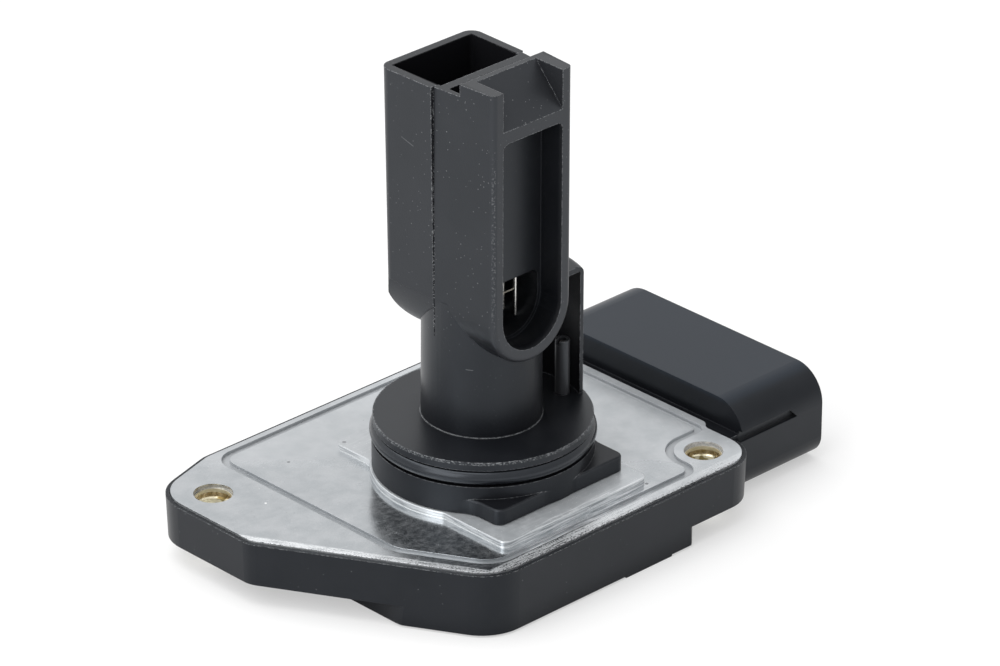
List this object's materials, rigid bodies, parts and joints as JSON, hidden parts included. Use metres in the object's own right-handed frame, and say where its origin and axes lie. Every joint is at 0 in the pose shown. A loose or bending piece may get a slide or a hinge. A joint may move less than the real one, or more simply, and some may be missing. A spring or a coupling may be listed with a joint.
{
  "type": "mass airflow sensor",
  "caption": "Plug-in mass airflow sensor: a U-shaped air duct on a round seal boss, an aluminium seating plate with screw ears and a side connector shroud.",
  "frame": {"origin": "on the axis of the probe, level with the top face of the seating plate", "axes": "+Z along the probe, away from the plate into the intake duct; +X towards the mouth of the connector; the air window faces -Y"},
  "size_m": [0.1026, 0.0627, 0.0846],
  "materials": {
    "black_plastic": "fine grain, satin",
    "pressed_aluminium": "satin",
    "brass": "machined",
    "ring_rubber": "satin",
    "sealant": "soft",
    "adhesive": "soft",
    "board_laminate": "matte",
    "component_plastic": "matte",
    "component_ceramic": "matte",
    "sensing_glass": "glazed",
    "tinned_metal": "bright"
  },
  "bodies": {
    "root": {"housing_tray": "black_plastic", "base_plate": "pressed_aluminium", "plate_seal": "sealant", "probe_adhesive": "adhesive", "probe_body": "black_plastic", "channel_cover": "black_plastic", "seal_ring": "ring_rubber", "thermistor": "sensing_glass", "circuit_board": "board_laminate", "control_chip": "component_plastic", "supply_capacitor": "component_ceramic", "signal_capacitor": "component_ceramic", "sleeve_left": "brass", "sleeve_right": "brass", "heated_prong_left": "tinned_metal", "heated_prong_right": "tinned_metal", "reference_prong_left": "tinned_metal", "reference_prong_right": "tinned_metal", "heated_element": "sensing_glass", "reference_element": "sensing_glass", "terminal_1": "tinned_metal", "terminal_2": "tinned_metal", "terminal_3": "tinned_metal", "terminal_4": "tinned_metal", "terminal_5": "tinned_metal"}
  },
  "joints": []
}
